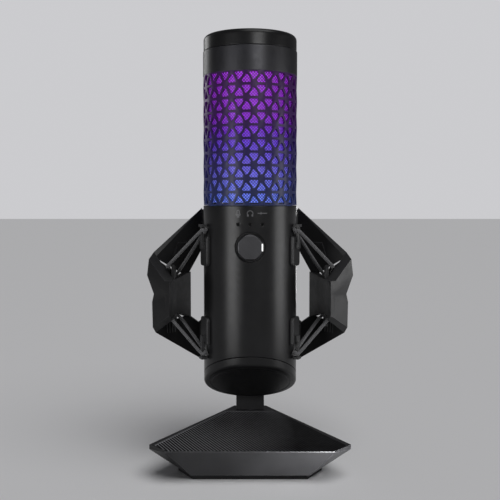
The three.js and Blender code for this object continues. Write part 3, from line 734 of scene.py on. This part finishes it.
def gauze():
    """Two layers of fine slanting wires that cross behind the holes."""
    low, high = cad("mesh_liner")
    radius = high.x
    wires = 96
    steps = 30
    shape = Shape()
    for side, depth in ((1, 0.10), (-1, 0.30)):
        twist = side * (high.z - low.z) / radius
        for wire in range(wires):
            rings = []
            for step in range(steps + 1):
                share = step / steps
                middle = math.tau * wire / wires + twist * share
                z = low.z + (high.z - low.z) * share
                ring = []
                for across, inward in ((-1, -1), (1, -1), (1, 1), (-1, 1)):
                    r = radius - depth - 0.08 * inward
                    turn = middle + 0.30 * across / radius
                    ring.append((r * math.sin(turn), -r * math.cos(turn), z))
                rings.append(ring)
            shape.strips(rings, ends=True)
    return shape


def diffuser():
    low, high = cad("light_diffuser")
    outer = high.x
    return turned(rounded([
        (outer - 1.4, low.z, 0), (outer, low.z, 0.3), (outer, high.z, 0.3), (outer - 1.4, high.z, 0),
    ]))


piece("pierced_field", pierced_field(), "head_grille", ["head_grille"], crease=50,
      look=LOOKS["grille_field"])
piece("gauze", gauze(), "mesh_liner", ["mesh_liner"])
piece("glowing_sleeve", diffuser(), "light_diffuser", ["light_diffuser"])


# ---- Dial, lamps and icons ----


def hull(points):
    """The smallest convex solid round some points, as a bmesh."""
    bm = bmesh.new()
    for p in points:
        bm.verts.new(Vector(p) * MM)
    made = bmesh.ops.convex_hull(bm, input=bm.verts)
    loose = {e for e in made["geom_interior"] + made["geom_unused"] if isinstance(e, bmesh.types.BMVert)}
    bmesh.ops.delete(bm, geom=list(loose), context="VERTS")
    merge_flat(bm)
    return bm


def dial():
    """A round dial whose flat face is an octagon, so eight sloping facets join the two."""
    radius = KNOB_HIGH.x
    front = KNOB_LOW.y
    back = min(KNOB_HIGH.y, cad("rotary_encoder")[0].y - DIAL_CLEARANCE)
    points = []
    for i in range(8):
        turn = math.radians(45 * i + 22.5)
        points.append((DIAL_FACE_R * math.cos(turn), front, KNOB_Z + DIAL_FACE_R * math.sin(turn)))
    for x, z in circle(radius, 64, 0, KNOB_Z):
        points.append((x, front + DIAL_FACET_DEPTH, z))
        points.append((x, back, z))
    bm = hull(points)
    soften(bm, 0.14, 11, 2)
    return finish_piece("dial_cap", bm, "control_knob", ["control_knob"], crease=9)


def finer(stroke, step=0.5):
    """The same line with a point at least every step millimetres."""
    result = [stroke[0]]
    for a, b in zip(stroke, stroke[1:]):
        count = max(1, math.ceil((Vector(b) - Vector(a)).length / step))
        result.extend(tuple(Vector(a).lerp(Vector(b), k / count)) for k in range(1, count + 1))
    return result


def printed(name, strokes, x, z, node="body_shell", width=0.42, wrap=on_front):
    """A thin printed icon on the body's round side, from strokes round (0, 0)."""
    shape = Shape()
    for corners, loops in strokes:
        stroke = finer(corners)
        rings = []
        count = len(stroke)
        for i, point in enumerate(stroke):
            ahead = Vector(stroke[(i + 1) % count] if loops else stroke[min(i + 1, count - 1)])
            behind = Vector(stroke[i - 1] if loops or i else stroke[0])
            side = (ahead - behind).normalized().orthogonal() * width / 2
            left = Vector(point) + side
            right = Vector(point) - side
            rings.append([
                wrap(x + left.x, z + left.y, 0.05), wrap(x + left.x, z + left.y, -0.03),
                wrap(x + right.x, z + right.y, -0.03), wrap(x + right.x, z + right.y, 0.05),
            ])
        if loops:
            rings.append(rings[0])
        shape.strips(rings, ends=not loops)
    return piece(name, shape, node, crease=60, look=PRINT)


def arc(radius, start, stop, x=0.0, y=0.0, steps=12):
    turns = [math.radians(start + (stop - start) * i / steps) for i in range(steps + 1)]
    return [(x + radius * math.cos(turn), y + radius * math.sin(turn)) for turn in turns]


MICROPHONE_ICON = [
    (arc(0.75, 0, 180, 0, 1.35) + arc(0.75, 180, 360, 0, -0.1), True),
    (arc(1.45, 180, 360, 0, -0.1), False),
    ([(0, -1.55), (0, -2.25)], False),
    ([(-0.8, -2.25), (0.8, -2.25)], False),
]
HEADPHONE_ICON = [
    (arc(1.9, 0, 180, 0, -0.1), False),
    ([(-1.75, -0.2), (-1.75, -1.9)], False),
    ([(1.75, -0.2), (1.75, -1.9)], False),
    ([(-1.2, -0.5), (-1.2, -1.9)], False),
    ([(1.2, -0.5), (1.2, -1.9)], False),
]
LINE_ICON = [
    ([(-3.1, 0.2), (3.1, 0.2)], False),
    ([(-0.9, -0.7), (-0.9, 1.1)], False),
]

dial()
ICON_RISE = 7.1  # of the icons over the lamps
for lamp, strokes in (("gain", MICROPHONE_ICON), ("headphone", HEADPHONE_ICON), ("mix", LINE_ICON)):
    printed(f"{lamp}_icon", strokes, LAMPS[lamp][0], LAMPS[lamp][1] + ICON_RISE)


def pointer():
    low, high = cad("knob_pointer")
    return block(low - Vector((0, POINTER_PROUD, 0)), high)


piece("dial_pointer", pointer(), "knob_pointer", ["knob_pointer"], bevel=0.3)


# ---- Clips and elastic loops ----

POST_ANGLE = 66  # degrees from the front
POST_R = 35
PAD_R = 34
PAD_FRONT, TIP_BACK, PAD_MIDDLE, PAD_BACK = 57, 67, 69, 81  # degrees from the front


def around(radius, degrees, z, side=1):
    turn = math.radians(degrees)
    return Vector((side * radius * math.sin(turn), -radius * math.cos(turn), z))


def curved_block(inner, outer, turns, heights, side, steps):
    """A block that follows the microphone's round side."""
    rings = []
    for i in range(steps + 1):
        turn = turns[0] + (turns[1] - turns[0]) * i / steps
        rings.append([
            around(r, turn, z, side)
            for r, z in ((inner, heights[0]), (outer, heights[0]), (outer, heights[1]), (inner, heights[1]))
        ])
    return Shape().strips(rings, ends=True)


def pad_block(side, heights, tip):
    """A clip's pad: round corners at its far end, and a narrow tip towards the post."""
    far, near = heights if tip > heights[1] else heights[::-1]
    inner = BODY_R + SEAM_GAP
    front, tip_back, centre, back = (
        math.radians(turn) * PAD_R for turn in (PAD_FRONT, TIP_BACK, PAD_MIDDLE, PAD_BACK))
    outline = rounded([
        (front, far, 2.4), (back, far, 2.4), (back, near, 1.6), (tip_back, tip, 0.6), (front, tip, 0.6),
    ], 5)
    middle = Vector((centre, (far + near) / 2))
    rings = []
    for radius, inset in ((inner, 0.0), (PAD_R - 0.9, 0.0), (PAD_R - 0.25, 0.35), (PAD_R, 1.0)):
        ring = []
        for u, z in outline:
            away = middle - Vector((u, z))
            spot = Vector((u, z)) + away.normalized() * inset
            ring.append(around(radius, math.degrees(spot.x / PAD_R), spot.y, side))
        rings.append(ring)
    return Shape().strips(rings, ends=True)


def clip(level, side_name, side):
    """A smooth pad on the body's side, and a post with a crossbar for the elastic loop."""
    node = f"clip_{level}_{side_name}"
    low, high = cad(node)
    if level == "upper":
        pad = (low.z, low.z + 15.9)
        tip = pad[1] + 4
        foot = (pad[1] - 4, pad[1])
        post = (pad[1] - 1, high.z - 1.4)
        crossbar = (high.z - 1.6, high.z)
    else:
        pad = (high.z - 16.1, high.z)
        tip = pad[0] - 2
        foot = (pad[0], pad[0] + 4)
        post = (low.z + 1.4, pad[0] + 1)
        crossbar = (low.z, low.z + 1.6)
    shape = pad_block(side, pad, tip)
    shape.join(curved_block(33, POST_R + 1, (POST_ANGLE - 3, POST_ANGLE + 3), foot, side, 2))
    shape.join(curved_block(
        POST_R - 1, POST_R + 1, (POST_ANGLE - 1.6, POST_ANGLE + 1.6), post, side, 1))
    shape.join(curved_block(
        BODY_R + 0.6, POST_R + 1.4, (POST_ANGLE - 4, POST_ANGLE + 5), crossbar, side, 2))
    return piece(f"hook_{level}_{side_name}", shape, node, [node], bevel=0.5, sharper_than=40)


def closed_path(points, steps):
    """Evenly many points on a smooth closed path through the given ones."""
    tension = 0.35
    count = len(points)
    path = []
    for i in range(count):
        before, here, after, beyond = (points[(i + k) % count] for k in (-1, 0, 1, 2))
        leaving = (after - before) * tension
        arriving = (beyond - here) * tension
        for k in range(steps):
            t = k / steps
            path.append(
                here * (2 * t**3 - 3 * t**2 + 1)
                + leaving * (t**3 - 2 * t**2 + t)
                + after * (3 * t**2 - 2 * t**3)
                + arriving * (t**3 - t**2)
            )
    return path


def resampled(path, count):
    """The same closed path with its points at equal distances."""
    lengths = [0.0]
    closed = path + path[:1]
    for a, b in zip(closed, closed[1:]):
        lengths.append(lengths[-1] + (b - a).length)
    result = []
    k = 0
    for i in range(count):
        wanted = lengths[-1] * i / count
        while lengths[k + 1] < wanted:
            k += 1
        share = (wanted - lengths[k]) / (lengths[k + 1] - lengths[k])
        result.append(closed[k].lerp(closed[k + 1], share))
    return result


CORD_R = 1.1
LOOP_ENDS = {
    "upper": ((55, -3, 134.2), (51.7, 14, 125.9), ((55.6, 9, 129.5), (56.3, 3, 132.8))),
    "lower": ((52.6, -3, 95.6), (49.7, 14, 95.9), ((54.9, 9, 95.2), (55.6, 3, 95.2))),
}
LOOP_LEVEL = {"upper": 156.9, "lower": 76.4}


def elastic_loop(level, side_name, side):
    """A ring of round braided elastic, from the side frame's lug round the clip's post."""
    front_end, rear_end, behind_lug = LOOP_ENDS[level]
    post = around(POST_R, POST_ANGLE, LOOP_LEVEL[level])
    near_post = [post + Vector((dx, dy, 0)) for dx, dy in ((1.1, -2.2), (-1.8, -1.7), (-1.5, 1.9))]
    points = [Vector(front_end), *near_post, Vector(rear_end), *(Vector(p) for p in behind_lug)]
    points = [Vector((side * p.x, p.y, p.z)) for p in points]
    path = resampled(closed_path(points, 24), 440)
    count = len(path)
    threads = 4
    crossings = 110  # of the braid's threads along the loop
    sides = 14
    rings = []
    out = None
    normals = []
    for i in range(count):
        ahead = (path[(i + 1) % count] - path[i - 1]).normalized()
        guess = out if out is not None else ahead.orthogonal()
        out = (guess - ahead * guess.dot(ahead)).normalized()
        normals.append((ahead, out))
    ahead, last = normals[-1]
    first = normals[0][1]
    slip = math.atan2(last.cross(first).dot(ahead), last.dot(first))
    for i, here in enumerate(path):
        ahead, out = normals[i]
        twist = slip * i / count
        side_way = ahead.cross(out)
        ring = []
        for k in range(sides):
            turn = math.tau * k / sides
            phase = math.tau * crossings * i / count
            weave = math.sin(threads * turn + phase) * math.sin(threads * turn - phase)
            radius = CORD_R * (0.97 + 0.05 * weave)
            spin = turn + twist
            ring.append(here + (out * math.cos(spin) + side_way * math.sin(spin)) * radius)
        rings.append(ring)
    rings.append(rings[0])
    node = f"elastic_{level}_{side_name}"
    made = piece(f"loop_{level}_{side_name}", Shape().strips(rings), node, [node], ride=False, crease=180)
    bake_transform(made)


for side_name, side in (("left", -1), ("right", 1)):
    for level in ("upper", "lower"):
        clip(level, side_name, side)
        elastic_loop(level, side_name, side)


# ---- Shock mount ----

softened("side_frame_left", "left_frame", 0.35)
softened("side_frame_right", "right_frame", 0.35)
softened("yoke", "rear_yoke", 0.45, 30)
softened("clamp_grip", "tilt_knob", 0.35, 34, 40)


def socket_screw(node, head_r, head_height):
    """A cap screw's head with a hexagonal socket, facing backwards."""
    low, high = cad(node)
    x = (low.x + high.x) / 2
    z = (low.z + high.z) / 2
    sides = 48
    socket = [
        (1.45 / math.cos((math.tau * i / sides + math.pi / 6) % (math.pi / 3) - math.pi / 6), i)
        for i in range(sides)
    ]
    rounds = rounded([
        (0.01, 0, 0), (head_r, 0, 0), (head_r, head_height, 0.35), (1.9, head_height, 0)], 3)
    rings = [
        [(r * math.sin(math.tau * i / sides), -r * math.cos(math.tau * i / sides), h) for i in range(sides)]
        for r, h in rounds
    ]
    for depth in (0.0, 1.3):
        rings.append([
            (r * math.sin(math.tau * i / sides), -r * math.cos(math.tau * i / sides), head_height - depth)
            for r, i in socket
        ])
    rings.append([(0, 0, head_height - 1.5)] * sides)
    shape = Shape().strips(rings)
    return shape.moved(facing(x, high.y - head_height, z, backwards=True))


for level in ("upper", "lower"):
    for side_name in ("left", "right"):
        node = f"frame_screw_{level}_{side_name}"
        piece(f"cap_screw_{level}_{side_name}", socket_screw(node, 2.8, 1.9), node, [node])


# ---- Back panel ----


def stadium(half_width, half_height, steps=8):
    return rounded([
        (-half_width, -half_height, half_height * 0.98), (half_width, -half_height, half_height * 0.98),
        (half_width, half_height, half_height * 0.98), (-half_width, half_height, half_height * 0.98),
    ], steps)


def usb_socket():
    """The port's rounded steel mouth, with its contact tongue inside."""
    low, high = cad("usb_c_socket")
    z = (low.z + high.z) / 2
    outer = stadium(high.x, high.z - z)
    inner = stadium(high.x - 0.3, high.z - z - 0.3)
    rings = []
    for outline, y in ((outer, 15), (outer, high.y - 0.1), (inner, high.y), (inner, 22), (inner, 15)):
        rings.append([(x, y, z + h) for x, h in outline])
    rings.append(rings[0])
    shape = Shape().strips(rings)
    shape.join(block((-3.3, 22, z - 0.35), (3.3, high.y - 1.2, z + 0.35)))
    back = [[(x, y, z + h) for x, h in inner] for y in (21.6, 22.0)]
    return shape.strips(back, ends=True)


def push_button(node):
    """A round key with a dished top."""
    low, high = cad(node)
    radius = high.x
    height = high.y - low.y
    outline = rounded([
        (0, 0, 0), (radius, 0, 0), (radius, height, 0.35), (radius * 0.7, height - 0.1, 0),
        (0, height - 0.35, 0)], 4)
    return turned(outline, 40).moved(facing(0, low.y, (low.z + high.z) / 2, backwards=True))


softened("port_panel", "rear_port_panel", 0.25, 40)
softened("jack", "headphone_socket", 0.2, 40)
piece("usb_mouth", usb_socket(), "usb_c_socket", ["usb_c_socket"])
for node in ("lighting_button", "high_pass_button"):
    piece(node.replace("button", "key"), push_button(node), node, [node])


def on_panel(x, z, depth=0.0):
    """A point of the flat port panel, seen from the front through the body."""
    return (-x, PANEL_HIGH.y - depth, z)


def level_of(node):
    low, high = cad(node)
    return (low.z + high.z) / 2


LAMP_ICON = [
    (arc(0.95, -50, 230, 0, 0.35), False),
    ([(-0.55, -0.7), (0.55, -0.7)], False),
    ([(-0.4, -1.2), (0.4, -1.2)], False),
]
SLOPE_ICON = [([(-1.4, -1.0), (-0.5, -0.9), (0.1, 0.7), (1.5, 0.8)], False)]
SMALL_HEADPHONES = [
    ([(x * 0.7, z * 0.7) for x, z in stroke], loops) for stroke, loops in HEADPHONE_ICON
]
ICON_SIDE = -5.6  # the panel's icons stand beside their keys and ports
for name, strokes, beside in (
    ("lighting_icon", LAMP_ICON, "lighting_button"),
    ("high_pass_icon", SLOPE_ICON, "high_pass_button"),
    ("jack_icon", SMALL_HEADPHONES, "headphone_socket"),
):
    printed(name, strokes, ICON_SIDE, level_of(beside), "rear_port_panel", 0.3, on_panel)


# ---- Stand ----

softened("base_casting", "base_shell", 0.3, 18, 25)
softened("neck_bar", "neck", 0.4, 30)
softened("foot_pad", "base_pad", 0.4, 30)

GROOVE_RUN = Vector((1, -2.1)).normalized()
GROOVE_ACROSS = Vector((-GROOVE_RUN.y, GROOVE_RUN.x))
GROOVE_PITCH = 2.0
GROOVE_DEPTH = 0.5
PLATE_OUTLINE = [(52.2, -54), (61.2, -42.3), (18.2, 39.5), (-18.2, 39.5), (-61.2, -42.3), (-52.2, -54)]


def grooved_plate():
    """The base's top plate: sharp slanting grooves, deep at the left and shallow at the right."""
    low, high = cad("base_top_plate")
    corners = [Vector(p) for p in PLATE_OUTLINE]
    spans = []
    reach = [c.dot(GROOVE_ACROSS) for c in corners]
    profile = ((0.0, 1.0), (0.16, 0.0), (0.34, 0.0), (0.62, 0.75), (0.84, 1.0))
    start = min(reach) + 0.01
    lines = []
    k = 0
    while start + k * GROOVE_PITCH < max(reach):
        for share, depth in profile:
            across = start + (k + share) * GROOVE_PITCH
            if across < max(reach) - 0.01:
                lines.append((across, depth))
        k += 1
    lines.append((max(reach) - 0.01, 0.0))
    for across, depth in lines:
        hits = []
        for a, b in zip(corners, corners[1:] + corners[:1]):
            da = a.dot(GROOVE_ACROSS) - across
            db = b.dot(GROOVE_ACROSS) - across
            if da * db < 0:
                hits.append((a + (b - a) * (da / (da - db))).dot(GROOVE_RUN))
        spans.append((across, depth, min(hits), max(hits)))
    steps = 24
    top_rings = []
    bottom_rings = []
    for across, depth, first, last in spans:
        ring = []
        under = []
        for i in range(steps + 1):
            run = first + (last - first) * i / steps
            spot = GROOVE_ACROSS * across + GROOVE_RUN * run
            # Full depth at the left, an eighth of it at the right, and none where a groove starts.
            fade = min(1.0, max(0.12, (34 - spot.x - 0.25 * spot.y) / 46))
            border = min(1.0, (run - first) / 3.0)
            drop = GROOVE_DEPTH * depth * fade * border
            ring.append((spot.x, spot.y, high.z - drop))
            under.append((spot.x, spot.y, low.z))
        top_rings.append(ring)
        bottom_rings.append(under[::-1])
    rings = [top + bottom for top, bottom in zip(top_rings, bottom_rings)]
    return Shape().strips(rings, ends=True)


def ridged_plate_painted_crests():
    """Plate black with a painted highlight on its ridges' crests, strong at the left and fading out to the
    right.
    """
    look = Look("ridged plate")
    look.set(Specular_IOR_Level=0.06)
    axes = look.node("ShaderNodeSeparateXYZ")
    look.link(look.place, axes.inputs["Vector"])
    top = cad("base_top_plate")[1].z * MM
    crest = look.span(axes.outputs["Z"], 0, 1, top - 0.16 * MM, top - 0.02 * MM)
    left = look.span(axes.outputs["X"], 1, 0, -0.01, 0.03)
    crest_highlight = look.node("ShaderNodeMath", operation="MULTIPLY")
    look.link(crest, crest_highlight.inputs[0])
    look.link(left, crest_highlight.inputs[1])
    cloud = look.ramp(look.noise(18, 4), [(0.35, grey(0.0030)), (0.65, grey(0.0050))])
    # Painted highlight: the crests at the left are mixed towards a light grey.
    look.link(look.mix(crest_highlight.outputs[0], cloud, grey(0.12)), look.shader.inputs["Base Color"])
    look.link(look.span(look.noise(4, 5), 0.42, 0.52), look.shader.inputs["Roughness"])
    look.link(look.bump(look.noise(0.35, 2), 0.5, 0.01), look.shader.inputs["Normal"])
    return look.material


piece("grooved_plate", grooved_plate(), "base_top_plate", ["base_top_plate"], crease=14,
      look=ridged_plate_painted_crests())


# ---- Every CAD node that stays in view or inside takes its slot's finish ----

for node, made in frame["nodes"].items():
    made.data.materials.clear()
    made.data.materials.append(LOOKS[SLOT_OF[node]])


# ---- Studio ----


def floor():
    """A plain pale floor."""
    size = 6.0
    mesh = bpy.data.meshes.new("floor")
    corners = [(-size, -size, 0), (size, -size, 0), (size, size, 0), (-size, size, 0)]
    mesh.from_pydata(corners, [], [(0, 1, 2, 3)])
    made = bpy.data.objects.new("floor", mesh)
    bpy.context.scene.collection.objects.link(made)
    look = Look("pale floor")
    look.set(Roughness=0.85, Specular_IOR_Level=0.2)
    grain = look.noise(0.8, 2)
    look.link(look.ramp(grain, [(0.3, (0.70, 0.70, 0.71)), (0.7, (0.73, 0.73, 0.74))]),
              look.shader.inputs["Base Color"])
    mesh.materials.append(look.material)
    return made


def aim(made, target):
    direction = Vector(target) - made.location
    made.rotation_euler = direction.to_track_quat("-Z", "Y").to_euler()


def lit_group(name, pieces, state):
    """A collection for light linking: its pieces alone are lit, or all but its pieces."""
    group = bpy.data.collections.new(name)
    for made in pieces:
        group.objects.link(made)
    for entry in group.collection_objects:
        entry.light_linking.link_state = state
    return group


def softbox(name, azimuth, distance, height, size, power, aim_height, receivers):
    """A soft rectangular light at an azimuth from the front, in degrees to the right."""
    lamp = bpy.data.lights.new(name, "AREA")
    lamp.shape = "RECTANGLE"
    lamp.size, lamp.size_y = size
    lamp.energy = power
    made = bpy.data.objects.new(name, lamp)
    bpy.context.scene.collection.objects.link(made)
    turn = math.radians(azimuth)
    made.location = (distance * math.sin(turn), -distance * math.cos(turn), height)
    made.visible_camera = False
    made.light_linking.receiver_collection = receivers
    aim(made, (0, 0, aim_height))


# Light linking: no card lights the floor, the left card skips the left frame, and the last three
# light only the tube, the head or the base. The base card makes the gradient on the base's front.
ground = floor()
parts = {made.name: made for made in bpy.context.scene.objects if made.type == "MESH"}
OFF_FLOOR = lit_group("off the floor", [ground], "EXCLUDE")
LEFT_SIDE = lit_group("left side", [ground, parts["side_frame_left"]], "EXCLUDE")
HEAD = lit_group("head", [parts[n] for n in ("crown_cap", "grille_collar", "pierced_field")], "INCLUDE")
TUBE = lit_group("tube", [parts[n] for n in ("lower_body", "foot_cap")], "INCLUDE")
BASE = lit_group("base", [parts["base_casting"]], "INCLUDE")
softbox("left card", -42, 0.46, 0.15, (0.22, 0.28), 1.25, 0.15, LEFT_SIDE)
softbox("right card", 76, 0.50, 0.15, (0.25, 0.28), 1.2, 0.15, OFF_FLOOR)
softbox("high card", 20, 1.2, 0.56, (0.5, 0.26), 4.5, 0.28, OFF_FLOOR)
softbox("right rim card", 166, 0.9, 0.16, (0.14, 0.4), 0.9, 0.13, TUBE)
softbox("left rim card", -135, 1.0, 0.48, (0.4, 0.3), 1.1, 0.28, HEAD)
softbox("base card", 32.5, 0.13, 0.014, (0.04, 0.02), 0.46, 0.012, BASE)
sun = bpy.data.lights.new("overhead", "SUN")
sun.energy = 1.7
sun.angle = math.radians(50)
overhead = bpy.data.objects.new("overhead", sun)
bpy.context.scene.collection.objects.link(overhead)
overhead.rotation_euler = (math.radians(20), math.radians(16), 0)

# The camera sees a pale backdrop, and everything else a dim one.
world = bpy.data.worlds.new("studio")
bpy.context.scene.world = world
world.use_nodes = True
sky = world.node_tree
backdrop = sky.nodes["Background"]
backdrop.inputs["Color"].default_value = (0.60, 0.60, 0.62, 1)
dim = sky.nodes.new("ShaderNodeBackground")
dim.inputs["Color"].default_value = (0.10, 0.10, 0.105, 1)
seen = sky.nodes.new("ShaderNodeLightPath")
choice = sky.nodes.new("ShaderNodeMixShader")
sky.links.new(seen.outputs["Is Camera Ray"], choice.inputs[0])
sky.links.new(dim.outputs[0], choice.inputs[1])
sky.links.new(backdrop.outputs[0], choice.inputs[2])
sky.links.new(choice.outputs[0], sky.nodes["World Output"].inputs["Surface"])
bpy.context.scene.view_settings.view_transform = "Standard"

camera = bpy.data.cameras.new("camera")
camera.lens = 57.6
camera.sensor_width = 36
camera.shift_x = -0.0002
camera.clip_start = 0.01
eye = bpy.data.objects.new("camera", camera)
bpy.context.scene.collection.objects.link(eye)
eye.location = (0, -0.545, 0.180)
eye.rotation_euler = (math.radians(86.2), 0, 0)
bpy.context.scene.camera = eye
